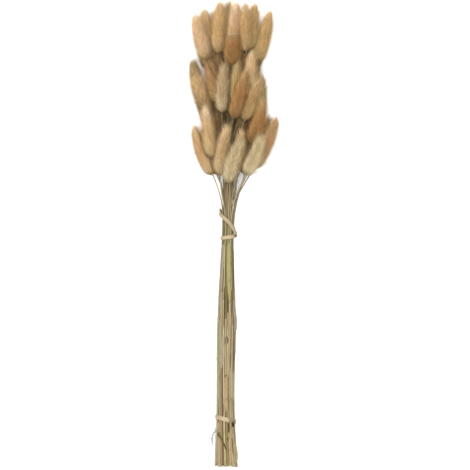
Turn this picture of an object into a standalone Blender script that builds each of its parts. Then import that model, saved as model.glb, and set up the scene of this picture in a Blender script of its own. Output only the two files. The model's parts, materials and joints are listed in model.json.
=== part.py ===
"""A bunch of dried bunny tail grass, tied with two bands and laid on a table.

The bunch lies along Y with its cut ends at low Y and its furry heads at high Y. Each stalk is one piece:
a straw stem that ends in one head, whose spikelets stand out of a slimmer core. Working sizes are in
millimetres and the meshes are written in metres.
"""

import math

import bpy
import numpy as np

MM = 0.001

# Driving sizes along the bunch, measured from the cut ends
LOWER_BAND_Y = 46.5
UPPER_BAND_Y = 222.0
STEM_STATIONS = (46.5, 150.0, 190.0)
STEM_STEP = 13.5
CUT_SPREAD = 3.5

# A stem's radius, thick at its cut end and thin below the head
STEM_TAPER_Y = (0.0, 150.0, 222.0, 450.0)
STEM_TAPER_R = (1.05, 0.88, 0.58, 0.45)
STEM_SIDES = 5

# How the bound stems lie in the bunch: their spacing across and up, and the turn of the whole bunch
BUNDLE_Y = (0.0, 46.5, 150.0, 190.0, 222.0)
SPACING_ACROSS = (3.12, 2.3, 2.22, 1.82, 1.48)
SPACING_UP = (2.4, 2.35, 2.15, 1.8, 1.47)
BUNDLE_TURN = math.radians(25.0)
AXIS_X_Y = (0.0, 46.5, 85.0, 172.0, 222.0, 300.0, 450.0)
AXIS_X = (0.0, -0.4, 0.3, 0.8, 1.7, 4.2, 6.5)
CUT_AXIS_Z = 9.2
LEVEL_TO = 30.0
RISE_POWER = 1.25
HEADS_AXIS_Z = 33.0
HEADS_AXIS_Y = 420.0

# A head: its outline from foot to tip as a share of its radius, its slimmer core, and its spikelets
OUTLINE_AT = (0.0, 0.03, 0.08, 0.15, 0.3, 0.5, 0.65, 0.78, 0.88, 0.95, 1.0, 1.05)
OUTLINE = (0.35, 0.66, 0.86, 0.96, 1.0, 0.97, 0.9, 0.78, 0.62, 0.44, 0.27, 0.12)
CORE_SHARE = 0.84
CORE_TIP = 0.96
LAST_SHARE = 1.04
HEAD_SIDES = 2 * STEM_SIDES
HEAD_RINGS = (0.02, 0.1, 0.26, 0.44, 0.63, 0.81)
SPIKELET_REACH = 0.171
REACH_SPREAD = (0.85, 1.12)
TURN_SPREAD = (-0.16, 0.16)
STAND_SPREAD = (0.93, 1.0)
SEED = 7

# Clearances
CLEAR = 0.5
STEM_CLEAR = 0.5
FREE_FROM = 262.0
FLOOR_CLEAR = 0.05
BAND_GAP = 0.35

# Bands: width along the bunch, thickness, the stretch of stems that each one goes round, and how high
# up the lower band the table presses it flat
LOWER_BAND = {"width": 4.2, "thick": 0.9, "tilt": 5.0}
UPPER_BAND = {"width": 3.6, "thick": 0.9}
BAND_GRIP = (-3.0, 0.0, 3.0)
BAND_PRESSED = 0.6

# The relaxed fit of the stalks, which are read every STATION: how stiff a stem and a head are, how
# firmly each is held to where it starts, and the radius under which a stretch counts as a thin stem
STATION = 3.0
LAST_STATION = 462.0
ROUNDS = 520
STEM_STIFF = 1500.0
HEAD_STIFF = 2.0e5
ACROSS_SHARE = 0.6
HOLD_ACROSS = 0.05
HOLD_UP = 0.004
HOLD_HIDDEN = 0.1
HOLD_FADE = (1.6, 0.1)
THIN_UNDER = 1.5
THIN_WEIGHT = 0.25

# Heads that the picture shows: foot x, y, tip x, y, height of foot and tip above the table, radius, and
# bow, which is how far the middle stands out sideways. x = 0 is the bunch's middle at the cut ends.
SHOWN = {
    "low_1": (-12.6, 283.0, -30.1, 329.8, 28, 31, 6.4, -2.6),
    "low_2": (-12.6, 299.5, -19.3, 347.8, 37, 46, 7.0, 0.6),
    "low_3": (-5.6, 282.0, 1.2, 329.6, 40, 53, 6.2, -1.8),
    "low_4": (1.4, 275.3, 13.5, 314.9, 42, 59, 6.8, -1.6),
    "low_5": (11.4, 286.5, 15.6, 323.5, 35, 42, 6.2, 0.0),
    "low_6": (18.4, 283.0, 33.8, 317.8, 40, 50, 7.2, 1.3),
    "low_7": (26.0, 289.0, 48.3, 338.1, 29, 32, 6.3, 2.4),
    "mid_1": (-13.2, 340.0, -29.4, 393.4, 35, 40, 7.7, -2.5),
    "mid_2": (-11.6, 352.6, -17.4, 394.1, 34, 29, 6.4, 0.0),
    "mid_3": (-3.9, 342.9, -1.0, 388.3, 45, 53, 6.2, -1.2),
    "mid_4": (6.8, 337.1, 18.8, 381.6, 48, 57, 6.4, 0.0),
    "mid_5": (17.6, 335.2, 31.2, 374.4, 40, 49, 5.6, 0.0),
    "mid_6": (20.6, 358.4, 25.1, 400.9, 35, 38, 6.3, 0.0),
    "mid_7": (31.6, 340.0, 33.6, 378.0, 30, 26, 6.3, 0.0),
    "mid_8": (9.7, 350.7, 10.6, 392.2, 38, 39, 5.8, 0.0),
    "mid_9": (22.7, 314.0, 34.8, 353.6, 35, 41, 6.6, 2.0),
    "top_1": (-19.3, 394.1, -29.5, 436.6, 42, 47, 7.0, 0.0),
    "top_2": (-14.0, 400.9, -21.4, 442.4, 32, 26, 6.6, 0.0),
    "top_3": (-7.7, 399.9, -5.6, 450.2, 43, 50, 6.1, 0.0),
    "top_4": (1.9, 403.8, 2.9, 450.4, 29, 28, 6.2, 0.0),
    "top_5": (8.4, 401.9, 9.6, 448.6, 38, 43, 6.9, 0.0),
    "top_6": (6.8, 389.2, 7.2, 420.3, 45, 62, 6.4, 0.0),
    "top_7": (18.2, 401.9, 18.7, 447.3, 41, 56, 5.4, 0.0),
    "top_8": (23.7, 403.8, 28.0, 447.3, 34, 38, 5.8, 0.0),
    "top_9": (29.9, 392.2, 42.2, 441.5, 30, 31, 6.1, 1.0),
}

# Heads in the middle of the bunch, which the picture shows only as dark shapes between the others
DEEP = {
    "top_20": (-9.5, 372.0, -13.0, 417.0, 27, 22, 6.2, 0.0),
    "top_21": (10.5, 374.0, 16.0, 418.0, 28, 24, 6.2, 0.0),
    "mid_20": (-4.5, 314.0, -8.5, 358.0, 29, 25, 6.2, 0.0),
    "mid_21": (12.5, 318.0, 19.0, 362.0, 28, 24, 6.2, 0.0),
    "mid_22": (22.5, 310.0, 29.0, 354.0, 24, 20, 6.2, 0.0),
}

# Heads underneath, in a row for each tier: how many, foot y of the first, how far every second one is
# set back, x of the row's ends at the tips, and the share of that spread at the feet
BENEATH = {
    "low": {"count": 6, "foot_y": 284.0, "set_back": 13.0, "ends_x": (-21.0, 37.0), "feet": 0.42},
    "mid": {"count": 6, "foot_y": 332.0, "set_back": 16.0, "ends_x": (-22.0, 27.0), "feet": 0.6},
    "top": {"count": 5, "foot_y": 386.0, "set_back": 12.0, "ends_x": (-23.0, 34.0), "feet": 0.7},
}
BENEATH_LENGTH = 45.0
BENEATH_RADIUS = 6.5
BENEATH_FOOT_Z = 16.0
BENEATH_TIP_Z = 8.0

# Colours, as linear red, green and blue
STALK_COLOUR = (0.5, 0.34, 0.17)
BAND_COLOUR = (0.62, 0.46, 0.28)


def clear_scene():
    for obj in list(bpy.data.objects):
        bpy.data.objects.remove(obj, do_unlink=True)


def material(name, colour, roughness):
    made = bpy.data.materials.new(name)
    made.use_nodes = True
    shader = made.node_tree.nodes["Principled BSDF"]
    shader.inputs["Base Color"].default_value = (*colour, 1.0)
    shader.inputs["Roughness"].default_value = roughness
    shader.inputs["Metallic"].default_value = 0.0
    return made


def add_object(name, points, faces, finish):
    """One closed mesh from points in millimetres."""
    mesh = bpy.data.meshes.new(name)
    mesh.from_pydata([tuple(p * MM for p in point) for point in points], [], faces)
    mesh.materials.append(finish)
    mesh.validate()
    obj = bpy.data.objects.new(name, mesh)
    bpy.context.scene.collection.objects.link(obj)
    return obj


def outline(share):
    """The head's outline at a share of its length, as a share of its radius, and 0 off its ends."""
    return np.interp(share, OUTLINE_AT, OUTLINE, left=0.0, right=0.0)


def stem_radius(y):
    return np.interp(y, STEM_TAPER_Y, STEM_TAPER_R)


def heads_beneath():
    """The rows of heads that lie on the table, in the same form as SHOWN."""
    heads = {}
    for tier, row in BENEATH.items():
        left, right = row["ends_x"]
        middle = (left + right) / 2
        for k in range(row["count"]):
            tip_x = left + (right - left) * k / (row["count"] - 1)
            foot_x = middle + (tip_x - middle) * row["feet"]
            foot_y = row["foot_y"] + row["set_back"] * (k % 2)
            sideways = tip_x - foot_x
            tip_y = foot_y + math.sqrt(BENEATH_LENGTH**2 - sideways**2)
            heads[f"{tier}_{k + 10}"] = (
                foot_x, foot_y, tip_x, tip_y, BENEATH_FOOT_Z, BENEATH_TIP_Z, BENEATH_RADIUS, 0.0,
            )
    return heads


def bundle_sites(count):
    """The places of the bound stems: the points of a triangular grid that lie nearest its middle."""
    reach = range(-6, 7)
    grid = [(i + 0.5 * (j % 2), j * math.sqrt(0.75)) for i in reach for j in reach]
    off_middle = (0.21, 0.13)
    grid.sort(key=lambda p: math.hypot(p[0] - off_middle[0], p[1] - off_middle[1]))
    sites = np.array(grid[:count])
    return sites - sites.mean(axis=0)


def match_sites(sites, wants, tiers):
    """Gives each stalk a site in the bundle, top tier innermost, so that stems cross as little as can be.
    It starts from the order of tiers and swaps pairs while a swap brings sites nearer their heads."""
    order = sorted(range(len(tiers)), key=lambda i: (tiers[i], np.hypot(*wants[i])))
    site_of = np.zeros(len(tiers), int)
    site_of[order] = range(len(tiers))
    spread = 6.0
    swapped = True
    while swapped:
        swapped = False
        for a in range(len(tiers)):
            for b in range(a):
                if tiers[a] != tiers[b]:
                    continue
                now = sum(np.sum((spread * sites[site_of[k]] - wants[k]) ** 2) for k in (a, b))
                then = np.sum((spread * sites[site_of[b]] - wants[a]) ** 2)
                then += np.sum((spread * sites[site_of[a]] - wants[b]) ** 2)
                if then < now - 1e-9:
                    site_of[a], site_of[b] = site_of[b], site_of[a]
                    swapped = True
    return sites[site_of]


def axis_height(y):
    """The bunch's own axis: level over the cut ends, then rising to the middle of the heads."""
    share = max(0.0, y - LEVEL_TO) / (HEADS_AXIS_Y - LEVEL_TO)
    return CUT_AXIS_Z + (HEADS_AXIS_Z - CUT_AXIS_Z) * share**RISE_POWER


def bound_place(site, y):
    """Where a bound stem passes at a height y along the bunch: its site, turned and spaced."""
    turn = BUNDLE_TURN * min(y, UPPER_BAND_Y) / UPPER_BAND_Y
    across = site[0] * math.cos(turn) - site[1] * math.sin(turn)
    up = site[0] * math.sin(turn) + site[1] * math.cos(turn)
    x = np.interp(y, AXIS_X_Y, AXIS_X) + across * np.interp(y, BUNDLE_Y, SPACING_ACROSS)
    z = axis_height(y) + up * np.interp(y, BUNDLE_Y, SPACING_UP)
    return x, z


def hermite(t, start, start_slope, end, end_slope, span):
    return (
        (2 * t**3 - 3 * t**2 + 1) * start
        + (t**3 - 2 * t**2 + t) * span * start_slope
        + (3 * t**2 - 2 * t**3) * end
        + (t**3 - t**2) * span * end_slope
    )


def first_paths(heads, sites, ys):
    """Each stalk's middle line above the upper band: up the core of the bunch, then out to its head."""
    leave_before = 46.0
    leave_slope = 0.025
    x, z = np.zeros((2, len(ys), len(heads)))
    for k, (fx, fy, tx, ty, fz, tz, _, bow) in enumerate(heads):
        turn = max(UPPER_BAND_Y, fy - leave_before)
        slope_x, slope_z = (tx - fx) / (ty - fy), (tz - fz) / (ty - fy)
        turn_x, turn_z = bound_place(sites[k], turn)
        core_slope = (axis_height(turn + 1) - axis_height(turn - 1)) / 2
        for i, y in enumerate(ys):
            if y <= turn:
                x[i, k], z[i, k] = bound_place(sites[k], y)
            elif y < fy:
                t = (y - turn) / (fy - turn)
                x[i, k] = hermite(t, turn_x, leave_slope, fx, slope_x, fy - turn)
                z[i, k] = hermite(t, turn_z, core_slope, fz, slope_z, fy - turn)
            else:
                share = (y - fy) / (ty - fy)
                arch = bow * (1 - (2 * share - 1) ** 2)
                x[i, k] = fx + slope_x * (y - fy) + arch
                z[i, k] = fz + slope_z * (y - fy)
    return x, z


def path_radii(heads, ys):
    """The radius of each stalk at each station, and 0 past its tip."""
    radii = np.zeros((len(ys), len(heads)))
    for k, (fx, fy, tx, ty, fz, tz, radius, _) in enumerate(heads):
        share = (ys - fy) / (ty - fy)
        lean = math.sqrt(1 + ((tx - fx) ** 2 + (tz - fz) ** 2) / (ty - fy) ** 2)
        radii[:, k] = np.where(share < 0, stem_radius(ys), outline(share) * radius * lean)
    return radii


def bending_filters(heads, ys):
    """For each stalk, the matrix that turns a push at each station into a smooth bend: soft along the
    stem, nearly rigid along the head, and held where the upper band grips it."""
    count = len(ys)
    bend = np.zeros((count - 2, count))
    for i in range(count - 2):
        bend[i, i : i + 3] = (1, -2, 1)
    held = np.eye(count)
    held[0, 0] = held[1, 1] = 1e6
    filters = []
    for head in heads:
        stiff = np.where(ys[1:-1] > head[1] - 2 * STATION, HEAD_STIFF, STEM_STIFF)
        filters.append(np.linalg.inv(held + bend.T @ (stiff[:, None] * bend)))
    return np.array(filters)


def relax(heads, shown_count, ys, x, z):
    """Moves the stalks apart until no two share space and none is under the table. The stalks in the
    picture keep their place across it more firmly than their height."""
    radii = path_radii(heads, ys)
    there = radii > 0
    filters = bending_filters(heads, ys)
    heavy = np.where(radii > THIN_UNDER, 1.0, THIN_WEIGHT)
    share = heavy[:, None, :] / (heavy[:, :, None] + heavy[:, None, :])
    thin = (radii < THIN_UNDER) & (ys > FREE_FROM)[:, None]
    reach = radii[:, :, None] + radii[:, None, :] + CLEAR
    reach += STEM_CLEAR * (thin[:, :, None] & thin[:, None, :])
    pairs = there[:, :, None] & there[:, None, :] & ~np.eye(len(heads), dtype=bool)
    first_x, first_z = x.copy(), z.copy()
    hold = np.where(np.arange(len(heads)) < shown_count, 1.0, HOLD_HIDDEN)
    fade_rate, fade_end = HOLD_FADE
    for step in range(ROUNDS):
        dx = x[:, :, None] - x[:, None, :]
        dz = z[:, :, None] - z[:, None, :]
        apart = np.maximum(np.hypot(dx, dz), 1e-6)
        push = np.where(pairs, np.maximum(reach - apart, 0) / apart * share, 0)
        fade = max(fade_end, 1 - fade_rate * step / ROUNDS)
        push_x = ACROSS_SHARE * (push * dx).sum(axis=2) + fade * HOLD_ACROSS * hold * (first_x - x)
        push_z = (push * dz).sum(axis=2) + fade * HOLD_UP * hold * (first_z - z)
        push_z += np.where(there, np.maximum(radii + FLOOR_CLEAR - z, 0), 0)
        push_x, push_z = np.where(there, push_x, 0), np.where(there, push_z, 0)
        x += np.einsum("kij,jk->ik", filters, push_x)
        z += np.einsum("kij,jk->ik", filters, push_z)
    return x, z


def ring(centre, tangent, radius, sides, offset):
    """Points round a centre, in the plane across the tangent. The first lies towards +X."""
    across = np.array([1.0, 0.0, 0.0]) - tangent[0] * tangent
    across /= np.linalg.norm(across)
    up = np.cross(across, tangent)
    angles = (np.arange(sides) + offset) * 2 * math.pi / sides
    return centre + radius * (np.cos(angles)[:, None] * across + np.sin(angles)[:, None] * up)


class Path:
    """A stalk's middle line, from its place in the bundle and its relaxed stations above the band."""

    def __init__(self, site, ys, x, z):
        self.site, self.ys, self.x, self.z = site, ys, x, z

    def at(self, y):
        if y <= UPPER_BAND_Y:
            x, z = bound_place(self.site, y)
        else:
            x, z = smooth_read(y, self.ys, self.x), smooth_read(y, self.ys, self.z)
        return np.array([x, y, z])

    def tangent(self, y, half_step=6.0):
        run = self.at(y + half_step) - self.at(y - half_step)
        return run / np.linalg.norm(run)


def stalk_mesh(path, head, cut_y, rng):
    """Points and faces of one stalk: the stem's rings, then the head's core with a spikelet raised from
    each diamond between its staggered rings."""
    foot_y, tip_y, radius = head[1], head[3], head[6]
    length = tip_y - foot_y
    points, faces = [], []

    def add(new):
        first = len(points)
        points.extend(new)
        return list(range(first, first + len(new)))

    upper = np.arange(UPPER_BAND_Y, foot_y - STEM_STEP / 2, STEM_STEP)
    rings = []
    for y in (cut_y, *STEM_STATIONS, *upper, foot_y):
        tangent = np.array([0.0, 1.0, 0.0]) if y < UPPER_BAND_Y else path.tangent(y)
        rings.append(add(ring(path.at(y), tangent, stem_radius(y), STEM_SIDES, 0.0)))
    faces.append(rings[0])
    for low, high in zip(rings, rings[1:]):
        for i in range(STEM_SIDES):
            j = (i + 1) % STEM_SIDES
            faces.append((low[j], low[i], high[i]))
            faces.append((low[j], high[i], high[j]))

    def head_point(share, angle, from_axis):
        """A point of the head at a share of its length, or a little past its tip."""
        y = foot_y + length * min(share, 1.0)
        centre = path.at(y)
        tangent = path.tangent(y, half_step=2.0)
        centre = centre + tangent * length * max(share - 1.0, 0.0)
        return ring(centre, tangent, from_axis, HEAD_SIDES, angle)[0]

    core = []
    for j, share in enumerate(HEAD_RINGS):
        y = foot_y + length * share
        size = CORE_SHARE * outline(share) * radius
        core.append(add(ring(path.at(y), path.tangent(y, 2.0), size, HEAD_SIDES, 0.5 * (j % 2))))
    tip = add([path.at(foot_y + length * CORE_TIP)])[0]
    stem_end = rings[-1]
    for i in range(STEM_SIDES):
        j = (i + 1) % STEM_SIDES
        a, b, c = core[0][2 * i], core[0][2 * i + 1], core[0][2 * j]
        faces += [(stem_end[i], a, b), (stem_end[i], b, stem_end[j]), (stem_end[j], b, c)]

    for j, low in enumerate(core):
        shift = j % 2
        for i in range(HEAD_SIDES):
            left, right = low[i], low[(i + 1) % HEAD_SIDES]
            above = core[j + 1][(i + shift) % HEAD_SIDES] if j + 1 < len(core) else tip
            below = core[j - 1][(i + shift) % HEAD_SIDES] if j else None
            if j == 0:
                faces.append((left, above, right))
                continue
            share = HEAD_RINGS[j] + SPIKELET_REACH * rng.uniform(*REACH_SPREAD)
            angle = i + 0.5 * shift + 0.5 + rng.uniform(*TURN_SPREAD)
            stand = outline(min(share, LAST_SHARE)) * radius * rng.uniform(*STAND_SPREAD)
            spike = add([head_point(share, angle, stand)])[0]
            loop = (left, above, right, below)
            faces += [(a, b, spike) for a, b in zip(loop, loop[1:] + loop[:1])]
    return points, faces


def facing_out(points, faces):
    """The same faces, turned so that the solid's volume is positive."""
    points = np.array(points)
    volume = 0.0
    for face in faces:
        for b, c in zip(face[1:], face[2:]):
            volume += np.dot(points[face[0]], np.cross(points[b], points[c]))
    return faces if volume > 0 else [tuple(reversed(face)) for face in faces]


def band_point(paths, y, angle, band, off=0.0):
    """A point of a band's middle line, just clear of the stems it goes round, and its way out."""
    middle = np.array([np.interp(y, AXIS_X_Y, AXIS_X), y, axis_height(y)])
    out = np.array([math.cos(angle), 0.0, math.sin(angle)])
    under = [path.at(y + edge) - middle for path in paths for edge in BAND_GRIP]
    far = (np.array(under) @ out).max() + stem_radius(y)
    return middle + (far + BAND_GAP + band["thick"] / 2 + off) * out, out


def band_mesh(line, width, thick):
    """A flat band along a closed line. line holds (point, direction away from the bunch)."""
    points, faces = [], []
    centres = np.array([p for p, _ in line])
    for k, (centre, out) in enumerate(line):
        along = centres[(k + 1) % len(line)] - centres[k - 1]
        along /= np.linalg.norm(along)
        side = np.cross(along, out)
        side /= np.linalg.norm(side)
        out = np.cross(side, along)
        for s, o in ((-1, -1), (1, -1), (1, 1), (-1, 1)):
            points.append(centre + s * side * width / 2 + o * out * thick / 2)
    count = len(line)
    for k in range(count):
        for i in range(4):
            j = (i + 1) % 4
            n = (k + 1) % count
            faces.append((4 * k + i, 4 * k + j, 4 * n + j, 4 * n + i))
    return points, faces


def lower_band(paths):
    """The band near the cut ends, one turn, a little aslant. Its underside is pressed flat."""
    segments = 28
    line = []
    for k in range(segments):
        angle = 2 * math.pi * (k + 0.5) / segments
        y = LOWER_BAND_Y - LOWER_BAND["tilt"] / 2 * math.cos(angle)
        line.append(band_point(paths, y, angle, LOWER_BAND))
    return band_mesh(line, LOWER_BAND["width"], LOWER_BAND["thick"])


# The upper band's two turns: the turn's angle round the bunch in degrees, its place along the bunch from
# the level turn, and how far it stands off. 0 is the picture's right, 90 is behind and 270 is in front.
UPPER_BAND_LINE = (
    (0, 3.3, 2.3), (35, 2.2, 1.2), (70, 0.9, 0.0), (120, 0.2, 0.0), (180, 0.0, 0.0), (225, 0.3, 0.0),
    (270, 0.9, 0.0), (320, 1.6, 0.0), (350, 2.6, 0.0), (368, 5.6, 0.0), (388, 8.6, 0.0),
    (410, 11.4, 0.0), (440, 15.8, 0.0), (470, 20.6, 0.0), (500, 24.6, 0.0), (522, 26.9, 0.2),
    (542, 27.6, 0.4), (556, 26.8, 0.4), (570, 24.8, 0.3), (600, 20.6, 0.1), (630, 15.9, 0.1),
    (655, 11.7, 0.6), (672, 8.6, 1.3), (690, 5.9, 1.8),
)


def upper_band(paths):
    """The band at the waist, wound twice: a level turn, then one that climbs behind and crosses aslant
    in front, over the first."""
    segments = 72
    angles, heights, offs = (np.array(column, float) for column in zip(*UPPER_BAND_LINE))
    turns = np.concatenate([angles[-3:] - 720, angles, angles[:3] + 720])
    heights = np.concatenate([heights[-3:], heights, heights[:3]])
    offs = np.concatenate([offs[-3:], offs, offs[:3]])
    line = []
    for k in range(segments):
        at = 720.0 * k / segments
        y = UPPER_BAND_Y + smooth_read(at, turns, heights)
        off = max(0.0, smooth_read(at, turns, offs))
        line.append(band_point(paths, y, -math.radians(at), UPPER_BAND, off))
    return band_mesh(line, UPPER_BAND["width"], UPPER_BAND["thick"])


def smooth_read(at, places, values):
    """Reads a value between places on a smooth curve through them."""
    i = int(np.clip(np.searchsorted(places, at, side="right") - 1, 1, len(places) - 3))
    span = places[i + 1] - places[i]
    before = (values[i + 1] - values[i - 1]) / (places[i + 1] - places[i - 1])
    after = (values[i + 2] - values[i]) / (places[i + 2] - places[i])
    return hermite((at - places[i]) / span, values[i], before, values[i + 1], after, span)


def main():
    clear_scene()
    straw = material("dried_grass", STALK_COLOUR, 0.85)
    rubber = material("straw_band", BAND_COLOUR, 0.6)
    rng = np.random.default_rng(SEED)

    heads = {**SHOWN, **DEEP, **heads_beneath()}
    names = list(heads)
    rows = [heads[name] for name in names]
    middle_x = np.interp(HEADS_AXIS_Y, AXIS_X_Y, AXIS_X)
    wants = np.array([((r[0] + r[2]) / 2 - middle_x, (r[4] + r[5]) / 2 - HEADS_AXIS_Z) for r in rows])
    tiers = [("top", "mid", "low").index(name.split("_")[0]) for name in names]
    sites = match_sites(bundle_sites(len(rows)), wants, tiers)

    ys = np.arange(UPPER_BAND_Y, LAST_STATION, STATION)
    x, z = first_paths(rows, sites, ys)
    x, z = relax(rows, len(SHOWN), ys, x, z)
    paths = [Path(sites[k], ys, x[:, k], z[:, k]) for k in range(len(rows))]

    solids = []
    for name, path, row in zip(names, paths, rows):
        cut_y = rng.uniform(0.0, CUT_SPREAD)
        solids.append((f"stalk_{name}", *stalk_mesh(path, row, cut_y, rng), straw))
    solids.append(("upper_band", *upper_band(paths), rubber))
    solids.append(("lower_band", *lower_band(paths), rubber))

    everything = np.concatenate([np.array(points) for _, points, _, _ in solids])
    low, high = everything.min(axis=0), everything.max(axis=0)
    middle = np.array([(low[0] + high[0]) / 2, (low[1] + high[1]) / 2, 0.0])
    for name, points, faces, finish in solids:
        placed = np.array(points) - middle
        if name == "lower_band":
            placed[:, 2] = np.where(placed[:, 2] < BAND_PRESSED, 0.0, placed[:, 2])
        add_object(name, placed, facing_out(placed, faces), finish)


main()
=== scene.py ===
"""A bunch of dried bunny tail grass that lies on a pale table and is seen from above: every stalk with its
ridged straw stem and its furry head, and the two flat bands that hold the stems together."""

import json
import math

import bmesh
import bpy
import numpy as np
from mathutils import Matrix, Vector
from mathutils.bvhtree import BVHTree

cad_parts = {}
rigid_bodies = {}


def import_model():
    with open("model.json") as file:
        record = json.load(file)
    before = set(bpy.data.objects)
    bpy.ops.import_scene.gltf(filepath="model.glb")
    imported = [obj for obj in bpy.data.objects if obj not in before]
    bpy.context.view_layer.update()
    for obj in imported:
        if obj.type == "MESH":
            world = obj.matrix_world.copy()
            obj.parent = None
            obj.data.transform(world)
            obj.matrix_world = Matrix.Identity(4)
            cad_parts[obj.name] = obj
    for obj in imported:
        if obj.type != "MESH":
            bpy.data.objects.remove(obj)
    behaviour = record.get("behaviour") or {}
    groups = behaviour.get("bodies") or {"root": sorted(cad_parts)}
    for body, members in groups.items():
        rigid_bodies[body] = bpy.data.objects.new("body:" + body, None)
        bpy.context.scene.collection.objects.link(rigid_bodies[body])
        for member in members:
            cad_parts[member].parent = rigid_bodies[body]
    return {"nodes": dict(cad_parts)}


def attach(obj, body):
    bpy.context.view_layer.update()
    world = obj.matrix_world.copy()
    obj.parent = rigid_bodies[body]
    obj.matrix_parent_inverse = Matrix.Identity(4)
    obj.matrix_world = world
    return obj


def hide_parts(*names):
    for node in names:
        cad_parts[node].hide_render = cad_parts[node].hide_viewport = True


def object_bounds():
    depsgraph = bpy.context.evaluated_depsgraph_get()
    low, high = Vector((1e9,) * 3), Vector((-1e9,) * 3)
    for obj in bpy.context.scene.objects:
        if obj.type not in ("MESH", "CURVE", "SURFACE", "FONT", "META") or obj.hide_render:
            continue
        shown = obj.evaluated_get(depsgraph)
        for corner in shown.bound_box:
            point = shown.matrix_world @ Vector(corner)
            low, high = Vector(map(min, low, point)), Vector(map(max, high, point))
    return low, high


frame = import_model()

cad_low, cad_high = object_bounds()

# Where each stalk runs
# A stalk is one piece of grass, from its cut end to the tip of its head. Its middle line is read from the
# rings of its solid in the frame, and a smooth curve is laid through them.
MM = 0.001
SAME_PLACE = 1e-5
# The solid's head: its rings between foot and tip, and its core's shares of the head's radius and length
HEAD_RING_COUNT = 6
CORE_SHARE = 0.84
CORE_TIP = 0.96


def ring_centres(node):
    """The centres of a stalk's rings from the cut end to the tip, and the radius of its widest ring."""
    solid = bmesh.new()
    solid.from_mesh(frame["nodes"][node].data)
    bmesh.ops.remove_doubles(solid, verts=solid.verts, dist=SAME_PLACE)
    spikelet_tips = {v for v in solid.verts if len(v.link_edges) == 4}
    lowest = min(v.co.y for v in solid.verts)
    ring = {v for v in solid.verts if v.co.y < lowest + SAME_PLACE}
    seen = set(spikelet_tips)
    centres, radii = [], []
    while ring:
        seen |= ring
        corners = np.array([v.co for v in ring])
        centres.append(corners.mean(axis=0))
        radii.append(np.linalg.norm(corners - centres[-1], axis=1).max())
        ring = {edge.other_vert(v) for v in ring for edge in v.link_edges} - seen
    solid.free()
    return np.array(centres), max(radii)


def smooth_line(points, at):
    """Places on a smooth curve through points, at lengths along it."""
    steps = np.linalg.norm(np.diff(points, axis=0), axis=1)
    places = np.concatenate([[0.0], np.cumsum(steps)])
    slopes = np.gradient(points, places, axis=0)
    at = np.clip(at, 0.0, places[-1])
    k = np.clip(np.searchsorted(places, at, side="right") - 1, 0, len(points) - 2)
    step = (places[k + 1] - places[k])[:, None]
    t = ((at - places[k]) / step[:, 0])[:, None]
    start, end = (2 * t**3 - 3 * t**2 + 1) * points[k], (3 * t**2 - 2 * t**3) * points[k + 1]
    leave, reach = (t**3 - 2 * t**2 + t) * step * slopes[k], (t**3 - t**2) * step * slopes[k + 1]
    return start + leave + end + reach


def line_length(points):
    return float(np.linalg.norm(np.diff(points, axis=0), axis=1).sum())


# The straw stems
# Thin dry grass straws, ridged lengthwise, thickest at the cut end. Each has a knot or two, and above the
# lowest knot a papery sheath still wraps it, which makes it a little thicker up to the sheath's mouth.

# In mm: the straw's radius at lengths from its cut end, and the step between its rings
STEM_TAPER_AT = (0.0, 150.0, 222.0, 450.0)
STEM_TAPER_R = (1.1, 0.94, 0.62, 0.46)
STEM_RING_STEP = 6.0
# Where the knots may be, and the sheath's mouth above the lowest, in mm
KNOTS_AT = ((58.0, 112.0), (132.0, 176.0))
MOUTH_ABOVE_KNOT = (38.0, 88.0)
KNOT_SWELL = 1.28
KNOT_HALF = 1.3
SHEATH_SWELL = 1.2
MOUTH_STEP = 0.35
MOUTH_FLARE = 0.12
FLARE_LENGTH = 4.0
STEM_SIDES = 10
RIDGE_DEPTH = 0.09
# How closely the stems are pressed together sideways, at heights along the bunch in mm. Near its head
# a stem is left where it is.
WAIST = (
    (-223, 1.0), (-200, 1.02), (-170, 1.05), (-90, 1.05), (-70, 0.99), (-54, 1.01), (-36, 0.97), (-20, 1.03),
    (0, 1.0), (16, 0.9), (30, 0.88), (50, 0.92), (90, 1.0),
)
FREE_NECK = 26.0


def stem_rings(length, rng):
    """Lengths from the cut end in mm, with the radius, the knot mark and the sheath share at each."""
    knots = [rng.uniform(*reach) for reach in KNOTS_AT][: rng.integers(1, 3)]
    mouth = knots[0] + rng.uniform(*MOUTH_ABOVE_KNOT)
    at = set(np.arange(0.0, length, STEM_RING_STEP)) | {length}
    for knot in knots:
        at |= {knot - KNOT_HALF, knot - KNOT_HALF / 2, knot, knot + KNOT_HALF / 2, knot + KNOT_HALF}
    at |= {mouth - MOUTH_STEP, mouth}
    at = np.array(sorted(at))
    radius = np.interp(at, STEM_TAPER_AT, STEM_TAPER_R)
    sheath = np.where((at > knots[0]) & (at < mouth), 1.0, 0.0)
    mark = np.zeros(len(at))
    for knot in knots:
        mark = np.maximum(mark, np.exp(-(((at - knot) / (KNOT_HALF * 0.6)) ** 2)))
    flare = 1 + MOUTH_FLARE * np.exp(-(((at - mouth) / FLARE_LENGTH) ** 2)) * sheath
    radius = radius * (1 + (SHEATH_SWELL - 1) * sheath) * flare * (1 + (KNOT_SWELL - 1) * mark)
    return at, radius, mark, sheath


# How far a straw sways in mm, and how freely at lengths along it and just below its head: not in the bands
WAVER = 0.28
FREE_AT = (0, 40, 60, 120, 200, 235)
FREE_SHARES = (1, 0, 0.2, 1, 0, 0, 0.8, 0)
FREE_BELOW_HEAD = 45
SWAY_WAVES = (17.0, 31.0)
LIFT_WAVES = (21.0, 37.0)
# The bundle's middle, left or right, at heights along the bunch in mm
MIDDLE_AT = (-230.0, 0.0, 60.0)
MIDDLE_X = (-8.0, -6.6, -5.6)


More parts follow.
